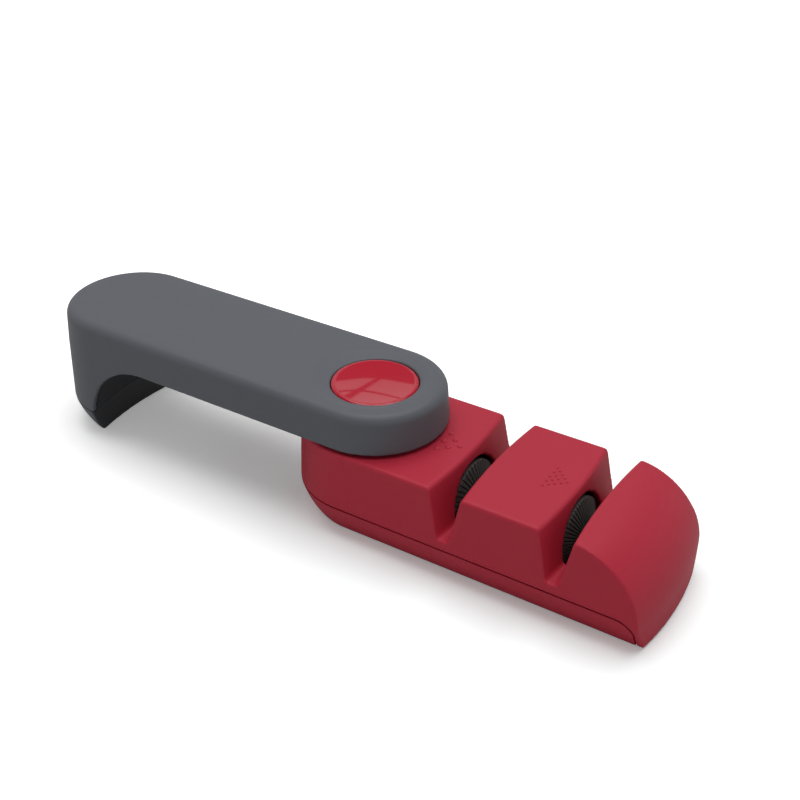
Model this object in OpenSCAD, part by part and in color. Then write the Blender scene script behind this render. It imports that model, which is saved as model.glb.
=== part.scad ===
// Pull-through knife sharpener with a handle that swings open.
// The origin is on the floor under the swing axis, X runs along the body to its rounded end,
// and the handle is modelled open, pointing towards -X.

/* [Body] */
// Height of the flat deck above the floor
body_h = 33; // [32:0.5:36]
// Distance from the middle of the second slot to the far end of the body
end_len = 30.4; // [30:0.2:38]
// Width of the body and of the handle's leg at the seam, where both are widest
seam_w = 50.4; // [49:0.2:54]
// Width of the body and of the leg at the floor
floor_w = 39; // [37:0.5:42]
// Height of the seam between the shell and the base plate
seam_h = 11.9; // [11.6:0.1:12.4]
// Bulge of the tapered side below the seam, measured from its chord
keel_bulge = 0.62; // [0.3:0.02:1]
// Lean of the sides above the seam, in degrees
body_draft = 2.3; // [1:0.1:3]
// Radius of the far end seen from the side
end_round = 23.8; // [23:0.2:24.6]
// Radius of the deck's side edges
body_edge = 1; // [0.6:0.1:1.4]
// Wall thickness of the body shell
body_wall = 2.2; // [1.8:0.1:2.6]
// Wall thickness of the base plate
base_wall = 2.4; // [2:0.1:2.8]
// Thickness of the base plate's floor
base_floor = 1.7; // [1.4:0.1:1.8]
// Thickness of the shell's end beyond the base plate
end_block = 4.3; // [4.1:0.2:5.7]
// Corner radius of the base plate's far end seen from the side
base_corner = 5.5; // [4.5:0.5:6]
// Open line between the two halves at a seam
seam_gap = 0.25; // [0.15:0.05:0.4]
// How far the rubber pads stand out of the base
foot_out = 0.5; // [0.3:0.1:0.7]

/* [Knife slots] */
// Distance from the swing axis to the middle of the first slot
slot_x = 40.3; // [39.5:0.1:42]
// Distance between the two slots
slot_pitch = 36.9; // [35.5:0.1:37.5]
// Width of a slot at the deck in the body's sides, before its edges are rounded
slot_top_w = 11.4; // [10.8:0.1:12]
// Width of a slot at its floor in the body's sides, before its corners are rounded
slot_floor_w = 4; // [3.6:0.1:4.6]
// How far each wall bows into the slot half way along it
slot_bow = 1.5; // [1:0.1:1.6]
// Height of the slot's floor
slot_floor_h = 15.4; // [15.2:0.1:16.4]
// Radius of the slot's edges at the deck
slot_edge = 1.5; // [1:0.1:1.7]
// Radius in the corners of the slot's floor
slot_corner = 1.3; // [0.8:0.1:1.5]
// Wall thickness of the slot
slot_wall = 1.8; // [1.4:0.1:1.9]

/* [Wheels] */
// Radius of a wheel
wheel_r = 12.8; // [12:0.1:13]
// Clearance between a wheel and the base plate's floor
wheel_rise = 0.3; // [0.2:0.1:0.6]
// Gap between a wheel and the arch in the slot's wall
wheel_gap = 1.4; // [1:0.1:1.6]
// Width of the V between the rims of a pair of wheels
vee_w = 6; // [5.4:0.1:6.6]
// Width of the V at its root
vee_root_w = 0.5; // [0.3:0.1:0.8]
// Radius of a wheel at the root of the V
vee_root_r = 5; // [4.8:0.1:5.6]
// Width of a pair of wheels over their outer faces
pair_w = 12.4; // [11.8:0.2:12.8]
// Number of grooves on each coarse wheel
coarse_grooves = 44; // [36:2:52]
// Number of grooves on each fine wheel
fine_grooves = 56; // [44:2:64]
// Width of a groove
groove_w = 0.45; // [0.35:0.05:0.6]
// Depth of a groove
groove_d = 0.45; // [0.3:0.05:0.6]
// Radius of the axles
axle_r = 1.5; // [1.2:0.1:1.8]
// Radius of the sleeve that carries a pair of wheels
sleeve_r = 4; // [3.4:0.1:4.2]
// Thickness of the cradle's bearing posts
cradle_post = 2.3; // [1.9:0.1:2.7]
// Radial clearance of everything that turns
run_gap = 0.05; // [0.02:0.01:0.08]

/* [Handle] */
// Gap between the deck and the handle
handle_gap = 1.1; // [0.85:0.05:1.3]
// Thickness of the handle
handle_t = 13.5; // [13.3:0.1:15]
// Lean of the handle's sides, in degrees
handle_draft = 4; // [3:0.2:5]
// Radius of the handle's top edge
handle_edge = 3.2; // [2.4:0.1:3.8]
// Thickness of the leg in its middle, at the height where its inner face turns over
leg_t = 20.75; // [19.5:0.25:23]
// How far the leg's inner face leans out down to the floor
leg_flare = 0.4; // [0.3:0.05:1.5]
// Wall thickness of the handle shell
handle_wall = 2.2; // [1.8:0.1:2.6]
// Thickness of the liner
liner_t = 2; // [1.7:0.1:2.4]
// Clearance between parts that are fixed in each other
fit_gap = 0.1; // [0.05:0.05:0.15]

/* [Swing joint] */
// Radius of the hub tube
hub_r = 10; // [9.6:0.1:10.3]
// Wall thickness of the hub tube
hub_wall = 2.4; // [2.1:0.1:2.5]
// Length of the hub tube below the handle
hub_len = 13.5; // [13:0.1:14.5]
// Outer radius of the bush
bush_r = 13; // [12.7:0.1:13.4]
// Thickness of the bush's flange on the deck
flange_t = 0.4; // [0.3:0.05:0.45]
// Thickness of the plate that the hub hangs from
hub_plate = 2.4; // [2.2:0.1:2.8]
// Radius of the central screw
pivot_screw_r = 2; // [1.7:0.1:2.2]

/* [Button] */
// Radius of the button
button_r = 14.2; // [13.6:0.1:14.4]
// Gap round the button
button_gap = 0.3; // [0.2:0.05:0.4]
// Travel of the button
button_travel = 2.5; // [2:0.1:2.6]
// Depth of the button's rim below the handle's top
button_sink = 1; // [0.6:0.1:1.2]
// Depth of the hollow in the button
button_hollow = 0.9; // [0.5:0.1:1.2]
// Depth of the dish round the button
dish_d = 2.2; // [1:0.1:2.4]
// Radius of the dish
dish_r = 19; // [18:0.1:19.4]
// Distance from the button's middle to the dish's
dish_off = 2; // [1:0.5:3]
// Radius of the spring's wire
spring_wire_r = 0.3; // [0.2:0.05:0.35]
// Width of the lock tooth
tooth_w = 4; // [3:0.2:4.2]
// Height of the lock tooth
tooth_h = 3; // [2:0.2:3.2]

/* [Marks] */
// Length of the base of the coarse triangle of dots
coarse_mark_w = 9.5; // [8:0.5:11]
// Length of the base of the fine triangle of dots
fine_mark_w = 10.6; // [9:0.2:12]
// Depth of each triangle of dots
mark_d = 5.7; // [4.5:0.3:6.5]
// Distance from the base of each triangle to the edge of its slot
mark_off = 8.6; // [8:0.2:10]
// Height of the dots
dot_h = 0.3; // [0.15:0.05:0.35]
// Radius of the dots beside the coarse slot
coarse_dot_r = 0.6; // [0.4:0.05:0.8]
// Radius of the dots beside the fine slot
fine_dot_r = 0.38; // [0.25:0.02:0.45]

/* [Hidden] */
$fn = 96;

red = [0.70, 0.14, 0.20];
grey = [0.37, 0.38, 0.40];
black = [0.13, 0.13, 0.13];
steel = [0.72, 0.73, 0.75];

// Overlap of joined volumes and overrun of cutters
lap = 0.4;
far = 200;

// Skin of the body: half widths, and the arc of the tapered side below the seam
seam_r = seam_w / 2;
floor_r = floor_w / 2;
keel_chord = norm([seam_r - floor_r, seam_h]);
keel_r = pow(keel_chord / 2, 2) / (2 * keel_bulge) + keel_bulge / 2;
keel_in = keel_r - keel_bulge;
keel_cx = (seam_r + floor_r) / 2 - keel_in * seam_h / keel_chord;
keel_cz = seam_h / 2 + keel_in * (seam_r - floor_r) / keel_chord;

// Far end: a surface of revolution about the swing axis. Round surfaces that run out into the
// deck rise over it by the crest, so that they cross it at a clear angle.
crest = 0.05;
body_len = slot_x + slot_pitch + end_len;
end_cx = body_len - end_round;
end_cz = body_h + crest - end_round;
base_x = body_len - end_block;
floor_top = foot_out + base_floor;

// Slots and wheels
slots = [slot_x, slot_x + slot_pitch];
slot_lean = atan((slot_top_w - slot_floor_w) / 2 / (body_h - slot_floor_h));
bow_r = (pow(seam_r, 2) + pow(slot_bow, 2)) / (2 * slot_bow);
arch_r = wheel_r + wheel_gap;
arch_w = pair_w + 1.6;
axle_h = floor_top + wheel_rise + wheel_r;
sleeve_w = arch_w;
cradle_in = sleeve_w / 2 + 0.2;
cradle_out = cradle_in + cradle_post;
cradle_y = arch_r + 0.6;
cradle_web = 2.5;
cradle_rail_h = 3.8;
cradle_top_r = axle_r + 2;

// Handle
handle_z = body_h + handle_gap;
top_z = handle_z + handle_t;
inner_arch = handle_z - end_cz;
reach = end_cx + inner_arch + leg_t - seam_r;
liner_in = handle_wall + fit_gap;

// Swing joint
deck_z = body_h + flange_t;
hub_z = handle_z - hub_len;
hub_plate_z = handle_z + hub_plate;
bush_flange_r = bush_r + 3;
boss_r = pivot_screw_r + 2;
washer_t = 1.5;

// Button, plunger and lock tooth
well_r = button_r + button_gap;
well_wall = 1.7;
rim_z = top_z - button_sink;
cap_edge = 0.8;
cap_skirt = 1.6;
cap_floor_z = rim_z - button_hollow - 2.4;
plunger_t = 1.6;
plunger_z = cap_floor_z - plunger_t;
plunger_r = button_r - cap_skirt - fit_gap;
skirt_z = plunger_z - 1.6;
leg_in = boss_r + 0.8;
leg_out = leg_in + 2;
tooth_out = hub_r + 1.6;
tooth_top = handle_z - 3.9;
window_low = tooth_top - tooth_h - button_travel - 0.3;
window_high = tooth_top + fit_gap;
spring_r = plunger_r - 2.4;
spring_turns = 3;

// Screws: base and handle
screw_r = 1.25;
screw_head_r = 2.6;
screw_head_t = 1.6;
screw_boss_r = 3.3;
base_boss_z = 6;
base_screw_x = [20, (slots[1] + cradle_out + base_x - base_wall) / 2];
base_screw_y = [14.5, 12];
base_screw_xy = [for (i = [0, 1]) for (s = [-1, 1]) [base_screw_x[i], s * base_screw_y[i]]];
screw_seat_z = floor_top + 1;
screw_len = 9;
screw_spare = 1;
pad_w = 19.5;
pad_in = 0.6;
pad_margin = 2.6;
handle_screw_x = [-reach * 0.31, -reach * 0.56, -reach * 0.8];
handle_seat_z = handle_z + 4;
handle_head_z = handle_z + 0.4;
handle_screw_len = 6.5;
toe_in = end_cx + inner_arch + leg_flare;
toe_screw_x = -(toe_in + reach + floor_r) / 2;
toe_floor_z = foot_out + 3.5;
toe_head_z = foot_out + pad_in + fit_gap;

// Points of a rounding from angle a0 to a1, in steps so short that it still reads as round
function round_points(centre, r, a0, a1, steps = 4) =
    [for (i = [0 : steps]) let (a = a0 + (a1 - a0) * i / steps) centre + r * [cos(a), sin(a)]];

// Half section of the skin, from the floor to height h with an edge radius, drawn in by off.
// lo is the section's inner limit: 0 to turn it about an axis, less to mirror it.
module keel_part(off, lo) {
    intersection() {
        translate([keel_cx, keel_cz]) circle(r = keel_r - off, $fn = 360);
        translate([lo, 0]) square([seam_r - lo, seam_h]);
    }
}

module body_section(off = 0, h = body_h, edge = body_edge, lo = 0) {
    cz = h - edge;
    cx = seam_r - off - (cz - seam_h) * tan(body_draft) - edge / cos(body_draft);
    keel_part(off, lo);
    polygon(concat([[lo, seam_h - lap], [seam_r - off - 2 * lap, seam_h - lap], [seam_r - off, seam_h]],
        round_points([cx, cz], edge, body_draft, 90), [[lo, h]]));
}

module handle_section(off = 0, h = top_z, edge = handle_edge, lo = 0) {
    t = tan(body_draft);
    mid = seam_r - off - (handle_z - seam_h) * t;
    cz = h - edge;
    cx = mid - (cz - handle_z) * tan(handle_draft) - edge / cos(handle_draft);
    keel_part(off, lo);
    polygon([[lo, seam_h - lap], [seam_r - off - 2 * lap, seam_h - lap], [seam_r - off, seam_h],
        [mid, handle_z], [cx + edge * cos(handle_draft), cz + edge * sin(handle_draft)],
        [cx, cz], [cx, h], [lo, h]]);
    translate([cx, cz]) circle(r = edge);
}

// A round end that covers the half plane on the side of angle a
module half_turn(a) rotate([0, 0, a - 90]) rotate_extrude(angle = 180) children();

// The ball that cuts a shallow hollow of radius r and depth d into a face at height 0
module hollow(r, d) {
    ball_r = (r * r + d * d) / (2 * d);
    translate([0, 0, ball_r - d]) sphere(r = ball_r, $fn = 180);
}

// A straight length along X of a section and its mirror image
module along_x(x0, x1) translate([x0, 0, 0]) rotate([90, 0, 90]) linear_extrude(x1 - x0) children();

// An outline in X and Z, drawn out along Y to both sides
module along_y(w) rotate([90, 0, 0]) linear_extrude(w, center = true) children();

// A cylinder along X, centred on x
module rod_x(r, x, len, z = axle_h) translate([x, 0, z]) rotate([0, 90, 0])
    cylinder(r = r, h = len, center = true);

module body_block(off = 0, edge = body_edge) {
    intersection() {
        union() {
            half_turn(180) body_section(off, body_h - off, edge);
            along_x(0, body_len + 5) {
                body_section(off, body_h - off, edge, -1);
                mirror([1, 0]) body_section(off, body_h - off, edge, -1);
            }
        }
        rotate_extrude() end_profile(end_round - off);
    }
}

// Profile of the rounded end: flat floor, upright wall, quarter round
module end_profile(r) {
    translate([0, -1]) square([end_cx + r, end_cz + 1]);
    translate([0, -1]) square([end_cx, end_cz + r + 1]);
    translate([end_cx, end_cz]) circle(r = r, $fn = 180);
}

module handle_block(off = 0, edge = handle_edge, roof = 0) {
    half_turn(0) handle_section(off, top_z - roof, edge);
    translate([-reach, 0, 0]) half_turn(180) handle_section(off, top_z - roof, edge);
    along_x(-reach, 0) {
        handle_section(off, top_z - roof, edge, -1);
        mirror([1, 0]) handle_section(off, top_z - roof, edge, -1);
    }
}

// The space under the handle, turned about the swing axis and grown by g
module arch_space(g = 0) {
    r = inner_arch + g;
    rotate_extrude() {
        translate([0, -1]) square([end_cx, end_cz + r + 1]);
        polygon([[0, -1], [end_cx + r + leg_flare * (end_cz + 1) / end_cz, -1],
            [end_cx + r, end_cz], [0, end_cz]]);
        translate([end_cx, end_cz]) circle(r = r, $fn = 180);
    }
}

// Everything below the seam that belongs to the base plate, drawn in by off
module base_region(off = 0) {
    along_y(far) {
        translate([-far / 2, -1]) square([far / 2 + base_x - off - base_corner, seam_h - off + 1]);
        translate([-far / 2, -1]) square([far / 2 + base_x - off, seam_h - off - base_corner + 1]);
        translate([base_x - off - base_corner, seam_h - off - base_corner]) circle(r = base_corner);
    }
}

// Space beside a slot's wall, half way along it: rounded floor corner, leaning wall and rounded
// edge at the deck
module slot_side() {
    a = slot_lean;
    low = [slot_bow - slot_floor_w / 2, slot_floor_h];
    foot = [low[0] + slot_corner * (1 - sin(a)) / cos(a), low[1] + slot_corner];
    edge = [slot_bow - slot_top_w / 2 - slot_edge * (1 - sin(a)) / cos(a), body_h + crest - slot_edge];
    polygon(concat([[slot_top_w, low[1]]], round_points(foot, slot_corner, 270, 180 + a),
        round_points(edge, slot_edge, a, 90), [[edge[0], body_h + 2], [slot_top_w, body_h + 2]]));
}

// The same turned about a far axis, so that the wall bows into the slot at x; m is 1 for the wall
// on the other side
module bowed_side(x, m) {
    sweep = 20;
    translate([x, 0, 0]) mirror([m, 0, 0]) translate([-bow_r, 0, 0]) rotate([0, 0, -sweep / 2])
        rotate_extrude(angle = sweep, $fn = 360) translate([bow_r, 0]) slot_side();
}

// Outline of the slot's walls
module slot_walls() {
    side = slot_wall / cos(slot_lean);
    low = slot_floor_w / 2 + side;
    high = slot_top_w / 2 + side;
    polygon([[-low, slot_floor_h - slot_wall], [low, slot_floor_h - slot_wall],
        [high, body_h], [-high, body_h]]);
}

// A triangle of dots of base w that points at the slot at x: rows of n, n - 1 ... 1
module dot_mark(x, n, r, w) {
    for (k = [0 : n - 1]) for (j = [0 : n - 1 - k])
        translate([x - slot_top_w / 2 - mark_off + k * mark_d / (n - 1),
            (j - (n - 1 - k) / 2) * w / (n - 1), body_h - lap])
            cylinder(r1 = r + 0.1, r2 = r - 0.15, h = lap + dot_h, $fn = 24);
}

module body_shell() {
    color(red) difference() {
        union() {
            difference() {
                body_block();
                intersection() {
                    body_block(body_wall, 0.4);
                    translate([-far / 2, -far / 2, seam_h]) cube([far, far, far]);
                }
            }
            intersection() {
                body_block(body_wall / 2);
                union() {
                    for (x = slots) translate([x, 0, 0]) along_y(far) slot_walls();
                    for (p = base_screw_xy) translate([p[0], p[1], base_boss_z])
                        cylinder(r = screw_boss_r, h = body_h);
                    translate([0, 0, hub_z + 2]) cylinder(r = bush_r + 2, h = body_h);
                }
            }
            dot_mark(slots[0], 3, coarse_dot_r, coarse_mark_w);
            dot_mark(slots[1], 5, fine_dot_r, fine_mark_w);
        }
        difference() {
            base_region();
            for (p = base_screw_xy) translate([p[0], p[1], base_boss_z])
                cylinder(r = screw_boss_r, h = body_h);
        }
        for (x = slots) {
            intersection() {
                bowed_side(x, 0);
                bowed_side(x, 1);
            }
            rod_x(arch_r, x, arch_w);
        }
        translate([0, 0, hub_z]) cylinder(r = bush_r, h = far);
        for (p = base_screw_xy) translate([p[0], p[1], base_boss_z - 1])
            cylinder(r = screw_r, h = screw_seat_z + screw_len + screw_spare + 1 - base_boss_z);
        translate([0, 0, foot_out - far]) cube(2 * far, center = true);
    }
}

module base_plate() {
    color(red) difference() {
        union() {
            difference() {
                intersection() {
                    body_block();
                    base_region(seam_gap);
                }
                intersection() {
                    body_block(base_wall, 0.4);
                    translate([-far, -far / 2, floor_top])
                        cube([far + base_x - base_wall - seam_gap, far, far]);
                }
            }
            for (p = base_screw_xy) translate([p[0], p[1], foot_out + lap])
                cylinder(r = screw_boss_r + 0.5, h = base_boss_z - foot_out - lap);
            base_lip();
        }
        for (p = base_screw_xy) translate([p[0], p[1], 0]) {
            cylinder(r = screw_r + 0.3, h = far);
            cylinder(r = screw_head_r + 0.3, h = screw_seat_z);
        }
        translate([0, 0, foot_out - far]) cube(2 * far, center = true);
        linear_extrude(foot_out + pad_in) grip_pad_outline(fit_gap);
    }
}

// Rim that locates the base plate inside the shell
module base_lip() {
    low = seam_h - 4.2;
    lip_in = body_wall + 1.4;
    intersection() {
        union() {
            ring_of_body(base_wall - 0.8, lip_in, low, seam_h - seam_gap);
            ring_of_body(body_wall + fit_gap, lip_in, seam_h - seam_gap - lap, seam_h + 1);
        }
        translate([-far, -far / 2, 0]) cube([far + base_x - base_corner - 3, far, far]);
    }
}

module ring_of_body(out, in, z0, z1) {
    intersection() {
        difference() {
            body_block(out, 0.4);
            body_block(in, 0.4);
        }
        translate([-far / 2, -far / 2, z0]) cube([2 * far, far, z1 - z0]);
    }
}

// Stadium of the pad under the body, grown by g
module grip_pad_outline(g = 0) {
    pad_x = [pad_w / 2 + 4 - floor_r, base_screw_x[1] - pad_w];
    translate([pad_x[0], -pad_w / 2 - g]) square([pad_x[1] - pad_x[0], pad_w + 2 * g]);
    for (x = pad_x) translate([x, 0]) circle(r = pad_w / 2 + g);
}

module grip_pad() {
    color(black) linear_extrude(foot_out + pad_in) grip_pad_outline();
}

// A screw along Z, with its head below and its shank pointing up
module pan_screw(r, head_r, head_t, len) {
    cylinder(r = head_r, h = head_t);
    cylinder(r = r, h = head_t + len);
}

module base_screws() {
    color(steel) for (p = base_screw_xy)
        translate([p[0], p[1], screw_seat_z - screw_head_t])
            pan_screw(screw_r, screw_head_r, screw_head_t, screw_len);
}

// Frame on the base plate with a bearing post on each side of the wheels
module cradle(x) {
    color(black) difference() {
        translate([x, 0, floor_top]) union() {
            difference() {
                translate([-cradle_out, -cradle_y - cradle_web, 0])
                    cube([2 * cradle_out, 2 * (cradle_y + cradle_web), cradle_rail_h]);
                translate([-cradle_in, -cradle_y, -1]) cube([2 * cradle_in, 2 * cradle_y, far]);
            }
            for (s = [-1, 1]) {
                translate([s * (cradle_in + cradle_post / 2), 0, 0]) cradle_bearing();
                translate([-3, s * (cradle_y + cradle_web / 2) - cradle_web / 2, 0])
                    cube([6, cradle_web, slot_floor_h - slot_wall - 0.2 - floor_top]);
            }
        }
        rod_x(axle_r, x, far);
    }
}

module cradle_bearing() {
    rotate([90, 0, 90]) linear_extrude(cradle_post, center = true) {
        polygon([[-2 * cradle_top_r, 0], [2 * cradle_top_r, 0],
            [cradle_top_r, axle_h - floor_top], [-cradle_top_r, axle_h - floor_top]]);
        translate([0, axle_h - floor_top]) circle(r = cradle_top_r);
    }
}

module axle(x) {
    color(steel) rod_x(axle_r, x, 2 * cradle_out);
}

module sleeve(x) {
    color(black) difference() {
        rod_x(sleeve_r, x, sleeve_w);
        rod_x(axle_r + run_gap, x, sleeve_w + 1);
    }
}

// One wheel of a pair: side is -1 for the one nearer the swing axis, 1 for the other
module wheel(x, side, grooves) {
    slant = [(vee_w - vee_root_w) / 2, wheel_r - vee_root_r];
    lean = atan(slant[0] / slant[1]);
    color([0.16, 0.155, 0.15]) translate([x, 0, axle_h]) rotate([0, side * 90, 0]) difference() {
        rotate_extrude() difference() {
            polygon([[0, vee_root_w / 2], [vee_root_r, vee_root_w / 2], [wheel_r, vee_w / 2],
                [wheel_r, pair_w / 2 - 0.5], [wheel_r - 0.5, pair_w / 2], [0, pair_w / 2]]);
            square([sleeve_r, far]);
        }
        for (i = [0 : grooves - 1]) rotate([0, 0, i * 360 / grooves])
            translate([vee_root_r, 0, vee_root_w / 2]) rotate([0, -lean, 0])
                translate([0.8, -groove_w / 2, -1]) cube([norm(slant), groove_w, 1 + groove_d]);
    }
}

// Flanged bush in the deck, with the track that the lock tooth runs in
module pivot_bush() {
    color(black) difference() {
        union() {
            translate([0, 0, hub_z + fit_gap]) cylinder(r = bush_r, h = deck_z - hub_z - fit_gap);
            translate([0, 0, body_h]) cylinder(r = bush_flange_r, h = flange_t);
        }
        cylinder(r = hub_r + run_gap, h = far);
        translate([0, 0, window_low]) {
            half_turn(180) square([tooth_out + 0.3, window_high - window_low]);
            translate([-tooth_w / 2 - run_gap, -tooth_out - 0.3, 0])
                cube([tooth_w + 2 * run_gap, 2 * tooth_out + 0.6, window_high - window_low]);
        }
    }
}

module bearing_washer() {
    color(black) translate([0, 0, deck_z + run_gap]) difference() {
        cylinder(r = bush_flange_r, h = handle_z - deck_z - 2 * run_gap);
        translate([0, 0, -1]) cylinder(r = hub_r + 0.3, h = 3);
    }
}

module retaining_washer() {
    color(steel) translate([0, 0, hub_z - washer_t]) difference() {
        cylinder(r = bush_r, h = washer_t);
        translate([0, 0, -1]) cylinder(r = pivot_screw_r + 0.2, h = 4);
    }
}

module pivot_screw() {
    color(steel) translate([0, 0, hub_z - washer_t - 2.2])
        pan_screw(pivot_screw_r, 2 * pivot_screw_r, 2.2, washer_t + hub_len - 1);
}

module handle_shell() {
    color(grey) difference() {
        union() {
            difference() {
                handle_block();
                handle_block(handle_wall, 1.4, handle_wall + 0.2);
            }
            intersection() {
                handle_block(handle_wall / 2, handle_edge, handle_wall / 2);
                union() {
                    translate([0, 0, hub_plate_z + run_gap]) cylinder(r = well_r + well_wall, h = far);
                    for (x = handle_screw_x) translate([x, 0, handle_seat_z])
                        cylinder(r = screw_boss_r, h = far);
                    translate([toe_screw_x, 0, toe_floor_z]) cylinder(r = screw_boss_r, h = far);
                }
            }
        }
        arch_space();
        difference() {
            translate([-far, -far / 2, -1]) cube([2 * far, far, seam_h + 1]);
            translate([toe_screw_x, 0, toe_floor_z]) cylinder(r = screw_boss_r, h = far);
        }
        translate([0, 0, handle_z]) cylinder(r = well_r, h = far);
        translate([-dish_off, 0, top_z]) hollow(dish_r, dish_d);
        for (x = handle_screw_x) translate([x, 0, 0])
            cylinder(r = screw_r, h = handle_head_z + screw_head_t + handle_screw_len + screw_spare);
        translate([toe_screw_x, 0, 0])
            cylinder(r = screw_r, h = toe_head_z + screw_head_t + screw_len + screw_spare);
    }
}

module handle_liner() {
    color(grey) difference() {
        union() {
            intersection() {
                handle_block(liner_in, 1.4, liner_in);
                union() {
                    intersection() {
                        arch_space(liner_t);
                        translate([-far, -far / 2, seam_h]) cube([2 * far, far, far]);
                    }
                    for (x = handle_screw_x) translate([x, 0, handle_z])
                        cylinder(r = screw_boss_r + 1, h = handle_seat_z - handle_z);
                    cylinder(r = well_r + well_wall, h = hub_plate_z);
                }
            }
            translate([0, 0, hub_z]) cylinder(r = hub_r, h = hub_len + 1);
        }
        difference() {
            arch_space();
            translate([0, 0, hub_z]) cylinder(r = hub_r, h = far);
        }
        difference() {
            translate([0, 0, hub_z - 1]) cylinder(r = hub_r - hub_wall, h = hub_len + 1);
            translate([0, 0, hub_z - 1]) cylinder(r = boss_r, h = far);
        }
        translate([0, 0, hub_z - 1]) cylinder(r = pivot_screw_r, h = hub_len);
        for (s = [-1, 1]) translate([0, s * (leg_in + leg_out) / 2, handle_z])
            cube([tooth_w + 0.5, leg_out - leg_in + 0.5, far], center = true);
        translate([-tooth_w / 2 - 0.25, leg_in - 0.25, window_low])
            cube([tooth_w + 0.5, hub_r, window_high - window_low]);
        for (x = handle_screw_x) translate([x, 0, 0]) {
            cylinder(r = screw_r + 0.3, h = far);
            cylinder(r = screw_head_r + 0.3, h = handle_head_z + screw_head_t);
        }
    }
}

module handle_toe() {
    color(grey) difference() {
        intersection() {
            handle_block();
            translate([-far, -far / 2, foot_out]) cube([far + handle_screw_x[1], far,
                seam_h - seam_gap - foot_out]);
        }
        arch_space();
        difference() {
            intersection() {
                handle_block(handle_wall);
                translate([-far, -far / 2, toe_floor_z]) cube([far, far, far]);
            }
            arch_space(liner_t + fit_gap);
        }
        linear_extrude(foot_out + pad_in) toe_pad_outline(fit_gap);
        translate([toe_screw_x, 0, 0]) {
            cylinder(r = screw_r + 0.3, h = far);
            cylinder(r = screw_head_r + 0.3, h = toe_head_z + screw_head_t);
        }
    }
}

// Crescent of the pad under the leg, grown by g
module toe_pad_outline(g = 0) {
    difference() {
        translate([-reach, 0]) circle(r = floor_r - pad_margin + g);
        circle(r = toe_in + pad_margin - g);
    }
}

module toe_pad() {
    color(black) linear_extrude(foot_out + pad_in) toe_pad_outline();
}

module handle_screws() {
    color(steel) for (x = handle_screw_x) translate([x, 0, handle_head_z])
        pan_screw(screw_r, screw_head_r, screw_head_t, handle_screw_len);
}

module toe_screw() {
    color(steel) translate([toe_screw_x, 0, toe_head_z])
        pan_screw(screw_r, screw_head_r, screw_head_t, screw_len);
}

module button_cap() {
    color([0.75, 0.12, 0.19]) difference() {
        rotate_extrude() {
            square([button_r - cap_edge, rim_z]);
            square([button_r, rim_z - cap_edge]);
            translate([button_r - cap_edge, rim_z - cap_edge]) circle(r = cap_edge);
        }
        translate([0, 0, -1]) cylinder(r = button_r - cap_skirt, h = cap_floor_z + 1);
        cylinder(r = far, h = skirt_z);
        translate([0, 0, rim_z]) hollow(button_r - cap_edge, button_hollow);
    }
}

// Plate under the button with two legs, one of which carries the lock tooth
module lock_plunger() {
    color(black) union() {
        translate([0, 0, plunger_z]) cylinder(r = plunger_r, h = plunger_t);
        for (s = [-1, 1]) translate([-tooth_w / 2, s > 0 ? leg_in : -leg_out, tooth_top - tooth_h])
            cube([tooth_w, leg_out - leg_in, plunger_z + lap - tooth_top + tooth_h]);
        translate([-tooth_w / 2, leg_in, tooth_top - tooth_h])
            cube([tooth_w, tooth_out - leg_in, tooth_h]);
    }
}

// Wire of a coil spring: rings of points along a helix, joined into one closed tube
module button_spring() {
    sides = 6;
    rings = spring_turns * 20;
    z0 = hub_plate_z + spring_wire_r + run_gap;
    rise = plunger_z - spring_wire_r - run_gap - z0;
    points = [for (i = [0 : rings]) for (j = [0 : sides - 1])
        let (a = 360 * spring_turns * i / rings, b = 360 * j / sides,
            r = spring_r + spring_wire_r * cos(b))
        [r * cos(a), r * sin(a), z0 + rise * i / rings + spring_wire_r * sin(b)]];
    walls = [for (i = [0 : rings - 1]) for (j = [0 : sides - 1])
        let (k = (j + 1) % sides, p = i * sides, q = p + sides)
        for (t = [[p + j, q + j, q + k], [p + j, q + k, p + k]]) t];
    ends = [for (j = [1 : sides - 2]) for (t = [[0, j, j + 1],
        [rings * sides, rings * sides + j + 1, rings * sides + j]]) t];
    color(steel) polyhedron(points, concat(walls, ends));
}

module coarse_cradle() cradle(slots[0]);
module coarse_axle() axle(slots[0]);
module coarse_sleeve() sleeve(slots[0]);
module coarse_wheel_left() wheel(slots[0], -1, coarse_grooves);
module coarse_wheel_right() wheel(slots[0], 1, coarse_grooves);
module fine_cradle() cradle(slots[1]);
module fine_axle() axle(slots[1]);
module fine_sleeve() sleeve(slots[1]);
module fine_wheel_left() wheel(slots[1], -1, fine_grooves);
module fine_wheel_right() wheel(slots[1], 1, fine_grooves);

body_shell();
base_plate();
grip_pad();
base_screws();
coarse_cradle();
coarse_axle();
coarse_sleeve();
coarse_wheel_left();
coarse_wheel_right();
fine_cradle();
fine_axle();
fine_sleeve();
fine_wheel_left();
fine_wheel_right();
pivot_bush();
bearing_washer();
retaining_washer();
pivot_screw();
handle_shell();
handle_liner();
handle_toe();
toe_pad();
handle_screws();
toe_screw();
button_cap();
lock_plunger();
button_spring();
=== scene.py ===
"""Looks of a pull-through knife sharpener with a swing-out handle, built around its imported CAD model."""

import math

import bmesh
import bpy
from mathutils import Matrix, Vector


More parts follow.
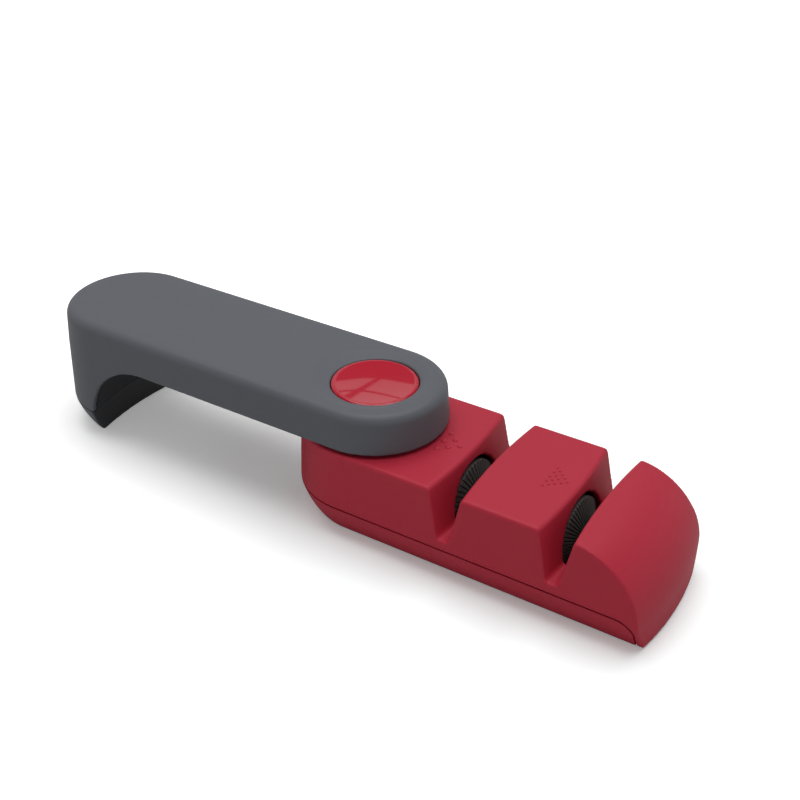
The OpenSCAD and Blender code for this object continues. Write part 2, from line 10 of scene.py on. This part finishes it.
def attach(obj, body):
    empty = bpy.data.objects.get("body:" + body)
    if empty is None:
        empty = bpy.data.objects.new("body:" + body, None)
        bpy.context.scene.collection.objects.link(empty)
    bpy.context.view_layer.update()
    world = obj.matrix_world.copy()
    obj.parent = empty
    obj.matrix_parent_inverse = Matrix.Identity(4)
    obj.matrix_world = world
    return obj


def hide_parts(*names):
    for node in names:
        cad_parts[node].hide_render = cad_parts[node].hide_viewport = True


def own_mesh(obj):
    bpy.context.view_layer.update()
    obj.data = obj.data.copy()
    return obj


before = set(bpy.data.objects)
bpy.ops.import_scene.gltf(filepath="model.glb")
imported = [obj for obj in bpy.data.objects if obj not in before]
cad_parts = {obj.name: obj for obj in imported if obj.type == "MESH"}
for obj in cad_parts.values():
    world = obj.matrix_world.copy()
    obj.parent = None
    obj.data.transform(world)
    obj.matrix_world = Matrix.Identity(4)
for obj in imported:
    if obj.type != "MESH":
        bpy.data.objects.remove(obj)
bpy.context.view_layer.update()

# Camera: looks down on the open sharpener from beyond its rounded end, on the side that faces the user.
# Its place and lens were fitted to the sharpener's outline in the photograph.
camera_place, camera_aim = (0.18126, -0.27279, 0.24852), (-0.44921, 0.71332, -0.53795)
camera_data = bpy.data.cameras.new("camera")
camera_data.sensor_width = 36
camera_data.lens = 53.86
camera = bpy.data.objects.new("camera", camera_data)
camera.location = camera_place
camera.rotation_euler = Vector(camera_aim).to_track_quat("-Z", "Y").to_euler()
bpy.context.scene.collection.objects.link(camera)
bpy.context.scene.camera = camera


# Body shell: the red upper moulding in ABS with a fine matte grain, the two knife slots and the rounded
# end. It is moulded in one piece, so its edges are soft, and it is screwed to the base from below.
class Value:
    """A socket of a shader. Arithmetic on it adds Math nodes."""

    def __init__(self, paint, socket):
        self.paint = paint
        self.socket = socket

    def math(self, operation, *values):
        return self.paint.add("ShaderNodeMath", {"operation": operation}, dict(enumerate(values)))

    def __add__(self, other):
        return self.math("ADD", self, other)

    def __sub__(self, other):
        return self.math("SUBTRACT", self, other)

    def __rsub__(self, other):
        return self.math("SUBTRACT", other, self)

    def __mul__(self, other):
        return self.math("MULTIPLY", self, other)

    def __truediv__(self, other):
        return self.math("DIVIDE", self, other)

    def __pow__(self, other):
        return self.math("POWER", self, other)

    __radd__ = __add__
    __rmul__ = __mul__


class Paint:
    """A material, or the surround, whose nodes are added one by one, with add()."""

    def __init__(self, name, kind=bpy.data.materials, shader="Principled BSDF"):
        self.material = kind.new(name)
        self.material.use_nodes = True
        self.tree = self.material.node_tree
        self.shader = self.tree.nodes[shader]

    def add(self, kind, settings=None, values=None, out=0):
        """Adds a node with its settings and the values or links of its sockets, and gives one output."""
        node = self.tree.nodes.new(kind)
        for name, setting in (settings or {}).items():
            setattr(node, name, setting)
        for name, value in (values or {}).items():
            self.feed(node.inputs[name], value)
        return Value(self, node.outputs[out])

    def feed(self, socket, value):
        if isinstance(value, Value):
            self.tree.links.new(value.socket, socket)
        elif isinstance(value, tuple) and len(value) == 3 and len(socket.default_value) == 4:
            socket.default_value = (*value, 1)
        else:
            socket.default_value = value

    def place(self):
        return self.add("ShaderNodeTexCoord", out="Object")

    def noise(self, scale, detail):
        return self.add("ShaderNodeTexNoise", {}, {"Vector": self.place(), "Scale": scale, "Detail": detail},
                        out="Fac")

    def mix(self, factor, first, second):
        """Blends two colours, whose sockets come last among a Mix node's A, B and Result sockets."""
        first_colour, second_colour, result_colour = 6, 7, 2
        return self.add("ShaderNodeMix", {"data_type": "RGBA"},
                        {"Factor": factor, first_colour: first, second_colour: second}, out=result_colour)

    def ramp(self, value, low, high, **settings):
        """0 where the value is at most low, and 1 where it is at least high."""
        return self.add("ShaderNodeMapRange", settings, {"Value": value, "From Min": low, "From Max": high})

    def vector(self, operation, *values, out="Vector"):
        return self.add("ShaderNodeVectorMath", {"operation": operation}, dict(enumerate(values)), out)

    def length(self, vector):
        return self.vector("LENGTH", vector, out="Value")

    def bump(self, height, distance):
        return self.add("ShaderNodeBump", {}, {"Height": height, "Distance": distance}, out="Normal")

    def finish(self, **sockets):
        for name, value in sockets.items():
            self.feed(self.shader.inputs[name.replace("_", " ")], value)
        return self.material


def moulded(name, colour, deep, roughness, grain, gloss):
    """Moulded plastic: slight clouds in its colour and gloss, and a fine even grain."""
    cloud_scale, blotch_scale, speckle_scale = 45, 160, 2600
    cloud_share, blotch_depth = 0.7, 0.16
    paint = Paint(name)
    clouds = paint.noise(cloud_scale, detail=3)
    speckle = paint.noise(speckle_scale, detail=1)
    blotches = paint.noise(blotch_scale, detail=2)
    return paint.finish(
        Base_Color=paint.mix(clouds * cloud_share + speckle * (1 - cloud_share), deep, colour),
        Roughness=blotches * (roughness * blotch_depth) + roughness * (1 - blotch_depth / 2),
        Specular_IOR_Level=gloss,
        Normal=paint.bump(speckle, grain))


def merged_copy(node, name):
    """A copy of a CAD node's mesh with its loose triangles joined, left selected and active."""
    bpy.ops.object.select_all(action="DESELECT")
    piece = bpy.data.objects.new(name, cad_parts[node].data.copy())
    bpy.context.scene.collection.objects.link(piece)
    bpy.context.view_layer.objects.active = piece
    piece.select_set(True)
    bpy.ops.object.mode_set(mode="EDIT")
    bpy.ops.mesh.select_all(action="SELECT")
    bpy.ops.mesh.remove_doubles(threshold=0.000002)
    bpy.ops.object.mode_set(mode="OBJECT")
    piece.data.materials.clear()
    return piece


def work(piece, kind, **settings):
    """Adds a modifier to the active piece and applies it."""
    modifier = piece.modifiers.new(kind, kind)
    for name, setting in settings.items():
        setattr(modifier, name, setting)
    bpy.ops.object.modifier_apply(modifier=kind)


def worn_copy(node, name, cell, passes, share, top=None, foot=0.0, foot_passes=0):
    """A copy of a CAD moulding in one skin of small cells, smoothed so that each edge turns soft.
    Relief that stands above top is pressed flat first, and what is below foot is rounded further."""
    piece = merged_copy(node, name)
    if top:
        for vertex in piece.data.vertices:
            vertex.co.z = min(vertex.co.z, top)
    work(piece, "REMESH", mode="VOXEL", voxel_size=cell)
    group = piece.vertex_groups.new(name="foot")
    group.add([vertex.index for vertex in piece.data.vertices if vertex.co.z < foot], 1, "ADD")
    work(piece, "SMOOTH", factor=0.5, iterations=passes)
    work(piece, "SMOOTH", factor=0.5, iterations=foot_passes, vertex_group="foot")
    work(piece, "DECIMATE", ratio=share)
    bpy.ops.object.shade_smooth()
    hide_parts(node)
    return piece


deck_z = 0.033
red = moulded("red_matte", (0.42, 0.0205, 0.043), (0.40, 0.0185, 0.039),
              roughness=0.5, grain=0.00002, gloss=0.22)
body_skin = worn_copy("body_shell", "body_skin", cell=0.0004, passes=8, share=0.4, top=deck_z)
body_skin.data.materials.append(red)
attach(body_skin, "body")


# Marks: triangles of low round dots moulded on the deck, each pointing at its slot. Few large ones tell
# the coarse slot, many small ones the fine slot.
def dot_mark(name, tip_x, tip_y, rows, length, width, radius, height):
    """One dot modelled, then copied into the rows of a triangle."""
    tip, sunk = (tip_x, tip_y, deck_z), height / 3
    bpy.ops.object.select_all(action="DESELECT")
    bpy.ops.mesh.primitive_uv_sphere_add(segments=16, ring_count=12, radius=radius, location=tip)
    dot = bpy.context.object
    bpy.ops.object.mode_set(mode="EDIT")
    bpy.ops.transform.resize(value=(1, 1, height / radius), center_override=tip)
    bpy.ops.mesh.bisect(plane_co=(tip_x, tip_y, deck_z - sunk), plane_no=(0, 0, 1),
                        clear_inner=True, use_fill=True, threshold=height / 500)
    bpy.ops.object.mode_set(mode="OBJECT")
    bpy.ops.object.transform_apply(location=True, rotation=True, scale=True)
    bpy.ops.object.shade_smooth_by_angle(angle=math.radians(60))
    dots = [dot]
    for row in range(1, rows):
        for place in range(row + 1):
            copy = dot.copy()
            copy.data = dot.data.copy()
            bpy.context.scene.collection.objects.link(copy)
            step = Vector((-row * length, (place - row / 2) * width, 0)) / (rows - 1)
            copy.data.transform(Matrix.Translation(step))
            dots.append(copy)
    for copy in dots:
        copy.select_set(True)
    bpy.context.view_layer.objects.active = dot
    bpy.ops.object.join()
    dot.name = name
    dot.data.materials.append(red)
    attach(dot, "body")


dot_mark("coarse_mark", tip_x=0.0317, tip_y=0, rows=3, length=0.0057, width=0.0095,
         radius=0.00092, height=0.00045)
dot_mark("fine_mark", tip_x=0.0686, tip_y=0.0009, rows=5, length=0.0057, width=0.0106,
         radius=0.00052, height=0.00030)


# Base plate: the red lower tray in the same ABS. A lip inside the seam centres it in the shell, and
# four screws hold it.
def dress(material, *nodes):
    """Gives CAD nodes, which keep their own meshes, a material."""
    for node in nodes:
        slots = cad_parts[node].data.materials
        slots.clear()
        slots.append(material)


dress(red, "base_plate")

# Pads: two strips of black rubber let into the base and the toe, glued in, that keep the sharpener
# from sliding.
rubber = moulded("pad_rubber", (0.032, 0.032, 0.033), (0.024, 0.024, 0.025),
                 roughness=0.8, grain=0.00004, gloss=0.25)
dress(rubber, "grip_pad", "toe_pad")

# Inner mouldings in black nylon: the cradles with the bearings of the axles, the sleeves of the
# wheels, the bush and slip ring of the swing joint, and the lock plunger.
nylon = moulded("black_nylon", (0.022, 0.022, 0.024), (0.016, 0.016, 0.017),
                roughness=0.42, grain=0.00001, gloss=0.35)
dress(nylon, "coarse_cradle", "fine_cradle", "coarse_sleeve", "fine_sleeve", "pivot_bush",
      "bearing_washer", "lock_plunger")


# Steel parts of the joints: the zinc plated screw and washer that hold the handle's hub in the bush, and
# the ground pins of the wheels, pressed into their cradles. All are bought parts.
def metal(name, colour, deep, roughness, grain):
    """Bare metal with fine marks of its working in the gloss."""
    mark_scale, mark_depth = 1800, 0.16
    paint = Paint(name)
    marks = paint.noise(mark_scale, detail=3)
    return paint.finish(
        Base_Color=paint.mix(marks, deep, colour),
        Metallic=1.0,
        Roughness=marks * mark_depth + (roughness - mark_depth / 2),
        Normal=paint.bump(marks, grain))


zinc = metal("zinc_plate", (0.60, 0.61, 0.63), (0.48, 0.49, 0.51), roughness=0.34, grain=0.000006)
dress(zinc, "pivot_screw", "retaining_washer")
pin = metal("ground_pin", (0.66, 0.66, 0.67), (0.58, 0.58, 0.59), roughness=0.24, grain=0.000003)
dress(pin, "coarse_axle", "fine_axle")

# Spring: a coil of drawn steel wire that stands on the liner and pushes the lock plunger up.
spring = merged_copy("button_spring", "button_coil")
bpy.ops.object.shade_smooth_by_angle(angle=math.radians(65))
spring.data.materials.append(pin)
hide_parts("button_spring")
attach(spring, "handle")
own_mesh(spring)


# Screws that show from below: pan heads pressed from zinc plated steel wire, with a rounded rim and the
# cross recess for the driver. They hold the base plate, the liner and the toe.
def driven_screws(node, name, body):
    """A copy of a CAD node of screws, with the rims rounded and a cross cut into each head."""
    rim, arm_w, arm_l, recess_d = 0.00035, 0.0006, 0.0028, 0.0009
    flat_down, close_to = -0.9, 0.0001
    screws = merged_copy(node, name)
    bpy.ops.object.mode_set(mode="EDIT")
    bpy.ops.mesh.select_all(action="SELECT")
    bpy.ops.mesh.dissolve_limited(angle_limit=math.radians(1))
    bpy.ops.object.mode_set(mode="OBJECT")
    low = min(vertex.co.z for vertex in screws.data.vertices)
    heads = [face.center.copy() for face in screws.data.polygons
             if face.normal.z < flat_down and face.center.z < low + close_to]
    work(screws, "BEVEL", width=rim, segments=3, limit_method="ANGLE")
    arms = []
    for head in heads:
        for arm in ((arm_l, arm_w), (arm_w, arm_l)):
            bpy.ops.object.select_all(action="DESELECT")
            bpy.ops.mesh.primitive_cube_add(size=1, location=(head.x, head.y, low))
            bpy.ops.transform.resize(value=(*arm, 2 * recess_d))
            bpy.ops.object.transform_apply(location=True, rotation=True, scale=True)
            arms.append(bpy.context.object)
    for arm in arms:
        bpy.context.view_layer.objects.active = screws
        work(screws, "BOOLEAN", object=arm, operation="DIFFERENCE", solver="EXACT")
        bpy.data.objects.remove(arm)
    bpy.ops.object.select_all(action="DESELECT")
    screws.select_set(True)
    bpy.ops.object.shade_smooth_by_angle(angle=math.radians(35))
    screws.data.materials.append(zinc)
    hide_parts(node)
    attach(screws, body)


driven_screws("base_screws", "base_screw_set", "body")
driven_screws("handle_screws", "handle_screw_set", "handle")
driven_screws("toe_screw", "toe_screw_set", "handle")


# Wheels: pairs of fired ceramic rings, bonded to their sleeves. Their conical faces are grooved and
# gritty, dark grey to black.
def grit(name, colour, deep, scale):
    """Gritty ceramic: grains in the colour and the surface."""
    cloud_scale, grain_share, grain_height = 220, 0.75, 0.00006
    paint = Paint(name)
    grains = paint.noise(scale, detail=2)
    clouds = paint.noise(cloud_scale, detail=2)
    return paint.finish(
        Base_Color=paint.mix(grains * grain_share + clouds * (1 - grain_share), deep, colour),
        Roughness=grains * 0.2 + 0.6,
        Specular_IOR_Level=0.3,
        Normal=paint.bump(grains, grain_height))


dress(grit("coarse_ceramic", (0.100, 0.094, 0.087), (0.036, 0.034, 0.032), scale=2200),
      "coarse_wheel_left", "coarse_wheel_right")
dress(grit("fine_ceramic", (0.103, 0.097, 0.090), (0.040, 0.038, 0.035), scale=3200),
      "fine_wheel_left", "fine_wheel_right")

# Handle: the long grey upper moulding with its leg, and the grey toe cap under it, in ABS with a soft
# matte grain. The cap is screwed to the leg from below, and its arch face is coloured dark as painted shade,
# like the liner.
grey = moulded("grey_soft", (0.097, 0.103, 0.117), (0.090, 0.096, 0.109),
               roughness=0.52, grain=0.00002, gloss=0.3)
handle_skin = worn_copy("handle_shell", "handle_skin", cell=0.0004, passes=8, share=0.4)
toe_skin = worn_copy("handle_toe", "toe_skin", cell=0.0003, passes=4, share=0.5, foot=0.0095, foot_passes=70)
# Painted shade on the toe: its face towards the arch is near black, blending to grey at the arch's edge.
arch_face_r, arch_edge_r = 0.1090, 0.1106
toe_paint = Paint("grey_toe")
from_swing_axis = toe_paint.vector("MULTIPLY", toe_paint.place(), (1.0, 1.0, 0.0))
out_of_painted_shade = toe_paint.ramp(toe_paint.length(from_swing_axis), arch_face_r, arch_edge_r,
                         interpolation_type="SMOOTHSTEP")
toe_grain = toe_paint.noise(900, detail=3)
arch_painted_shade, toe_colour = (0.036, 0.038, 0.041), (0.094, 0.100, 0.113)
toe_grey = toe_paint.finish(
    Base_Color=toe_paint.mix(out_of_painted_shade, arch_painted_shade, toe_colour),
    Roughness=toe_grain * 0.08 + 0.50,
    Specular_IOR_Level=0.3,
    Normal=toe_paint.bump(toe_grain, 0.00002))
for skin, material in ((handle_skin, grey), (toe_skin, toe_grey)):
    skin.data.materials.append(material)
    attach(skin, "handle")

# Liner: the moulding that closes the handle from below and carries the hub, screwed into the
# handle from the hand's side. It lines the arch down to the toe. Its near-black colour is painted shade for
# the hollow of the arch.
dark = moulded("dark_liner", (0.038, 0.040, 0.043), (0.033, 0.035, 0.038),
               roughness=0.6, grain=0.00002, gloss=0.2)
dress(dark, "handle_liner")

# Button: a red cap in ABS with a polished, slightly hollow face and a thin wall, open below. It is
# snapped on to the lock plunger, and its rim lies just below the handle's top.
cap_r, cap_edge, cap_wall, cap_sides = 0.0143, 0.0008, 0.0016, 128
rim_z, skirt_z, straight_up, hair = 0.0466, 0.0401, 0.999, 0.000001
hollow_r, hollow_d, rings = cap_r - cap_edge, 0.0009, 14
ball_r = (hollow_r ** 2 + hollow_d ** 2) / (2 * hollow_d)


def choose(piece, kind, test):
    """Selects the faces or edges of a piece in edit mode that pass a test, and no others."""
    bpy.ops.mesh.select_all(action="DESELECT")
    mesh = bmesh.from_edit_mesh(piece.data)
    for part in getattr(mesh, kind):
        part.select_set(test(part))
    mesh.select_flush_mode()
    bmesh.update_edit_mesh(piece.data)


bpy.ops.object.select_all(action="DESELECT")
bpy.ops.mesh.primitive_cylinder_add(vertices=cap_sides, radius=cap_r, depth=rim_z - skirt_z,
                                    location=(0, 0, (rim_z + skirt_z) / 2))
button = bpy.context.object
button.name = "button_skin"
bpy.ops.object.transform_apply(location=True, rotation=True, scale=True)
bpy.ops.object.mode_set(mode="EDIT")
bpy.ops.mesh.select_mode(type="FACE")
choose(button, "faces", lambda face: face.normal.z < -straight_up)
bpy.ops.mesh.delete(type="FACE")
bpy.ops.mesh.select_mode(type="EDGE")
choose(button, "edges", lambda edge: min(vert.co.z for vert in edge.verts) > rim_z - hair)
bpy.ops.mesh.bevel(offset=cap_edge, segments=5)
bpy.ops.mesh.select_mode(type="FACE")
choose(button, "faces", lambda face: face.normal.z > straight_up and len(face.verts) == cap_sides)
for ring in range(rings):  # the face steps down from ring to ring, along the ball that hollows it
    outer, inner = (hollow_r * (1 - step / (rings + 1)) for step in (ring, ring + 1))
    drop = math.sqrt(ball_r ** 2 - inner ** 2) - math.sqrt(ball_r ** 2 - outer ** 2)
    bpy.ops.mesh.inset(thickness=outer - inner, depth=-drop)
bpy.ops.object.mode_set(mode="OBJECT")
work(button, "SOLIDIFY", thickness=cap_wall)
bpy.ops.object.shade_smooth_by_angle(angle=math.radians(40))
polished = moulded("red_gloss", (0.42, 0.009, 0.026), (0.41, 0.008, 0.024),
                   roughness=0.05, grain=0.0, gloss=0.5)
button.data.materials.append(polished)
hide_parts("button_cap")
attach(button, "button")

# Floor: a pale matte table top that burns out to white, except in the sharpener's soft shadow. That shadow
# is partly cast by the lamp and partly painted, because the glow that the camera sees is lower in an oval
# round the sharpener.
# Near the red body it is a little cooler, against the red light that falls on it. The pieces see it as grey.
shadow_middle, shadow_shape = (0.025, 0.0, 0.0), (0.4, 1.2, 1.0)
shadow_near, shadow_far, shadow_glow, table_glow = 0.033, 0.233, 0.17, 0.87
body_middle, cool_near, cool_far = (0.045, 0.0, 0.0), 0.05, 0.10
cool_white, table_white, bounce_grey = (0.895, 0.955, 0.955), (0.96, 0.96, 0.96), (0.58, 0.58, 0.58)
bpy.ops.object.select_all(action="DESELECT")
bpy.ops.mesh.primitive_plane_add(size=6, location=(0, 0, 0))
floor = bpy.context.object
floor.name = "floor"
floor_paint = Paint("floor_white")
seen = floor_paint.add("ShaderNodeLightPath", out="Is Camera Ray")
from_shadow = floor_paint.vector("SUBTRACT", floor_paint.place(), shadow_middle)
oval = floor_paint.vector("MULTIPLY", from_shadow, shadow_shape)
# Painted shadow: the camera-seen glow is low in an oval round the sharpener and rises to white outward.
outside_painted_shadow = floor_paint.ramp(floor_paint.length(oval), shadow_near, shadow_far)
from_body = floor_paint.vector("SUBTRACT", floor_paint.place(), body_middle)
neutral = floor_paint.ramp(floor_paint.length(from_body), cool_near, cool_far)
glow = seen * (outside_painted_shadow * (table_glow - shadow_glow) + shadow_glow)
floor.data.materials.append(floor_paint.finish(
    Base_Color=floor_paint.mix(seen, bounce_grey, floor_paint.mix(neutral, cool_white, table_white)),
    Roughness=0.95, Specular_IOR_Level=0.1,
    Emission_Color=floor_paint.mix(glow, (0.0, 0.0, 0.0), (1.0, 1.0, 1.0)), Emission_Strength=1.0))

# Windows: a ring of pale arched windows that stands round the table, each with one bent upright bar and
# one bent level bar. The button's polished face mirrors one of them. The camera sees plain white.
window_top, window_foot, window_turn = math.radians(35.8), math.radians(18), math.radians(30)
window_mid, bar_w = math.radians(122.5), math.radians(0.45)
arch_drop, edge_blur = 6.9, 0.015
upright_place, upright_bend = math.radians(2.6), math.radians(4.7)
level_top, level_place, level_bend = math.radians(27.2), math.radians(1.2), 12.6
window_glow, wall_glow = 0.85, 0.2
sky = Paint("surround", bpy.data.worlds, "Background")
bpy.context.scene.world = sky.material
look = sky.add("ShaderNodeTexCoord", out="Generated")
look_x, look_y, look_z = (sky.add("ShaderNodeSeparateXYZ", {}, {"Vector": look}, out=axis) for axis in "XYZ")
height = look_z.math("ARCSINE", look_z)
around = look_y.math("ARCTAN2", look_y, look_x)
across = around.math("WRAP", around - window_mid, window_turn / 2, -window_turn / 2)
rise = (height - window_foot) / (window_top - window_foot)
upright = across - (rise * rise * upright_bend - upright_place)
level_bar = height - (level_top - (across + level_place) ** 2 * level_bend)
pane = sky.ramp(window_top - across * across * arch_drop - height, 0.0, edge_blur)
for bar in (upright, level_bar):
    pane = pane * sky.ramp(bar.math("ABSOLUTE", bar), bar_w, bar_w * 2)
seen = sky.add("ShaderNodeLightPath", out="Is Camera Ray")
glow = pane * (window_glow - wall_glow) + wall_glow
sky.finish(Color=(1.0, 1.0, 1.0), Strength=glow * (1 - seen) + seen)

# Lamp: one wide soft box of light that hangs over the sharpener, a little behind it, and points at the
# swing joint. It casts the soft shadow on the table.
lamp_place = Vector((-0.04, 0.12, 0.9))
lamp_data = bpy.data.lights.new("overhead", "AREA")
lamp_data.shape = "RECTANGLE"
lamp_data.size, lamp_data.size_y = 0.9, 0.8
lamp_data.energy = 7.5
lamp = bpy.data.objects.new("overhead", lamp_data)
lamp.location = lamp_place
lamp.rotation_euler = (-lamp_place).to_track_quat("-Z", "Y").to_euler()
bpy.context.scene.collection.objects.link(lamp)

bpy.context.scene.view_settings.view_transform = "Standard"
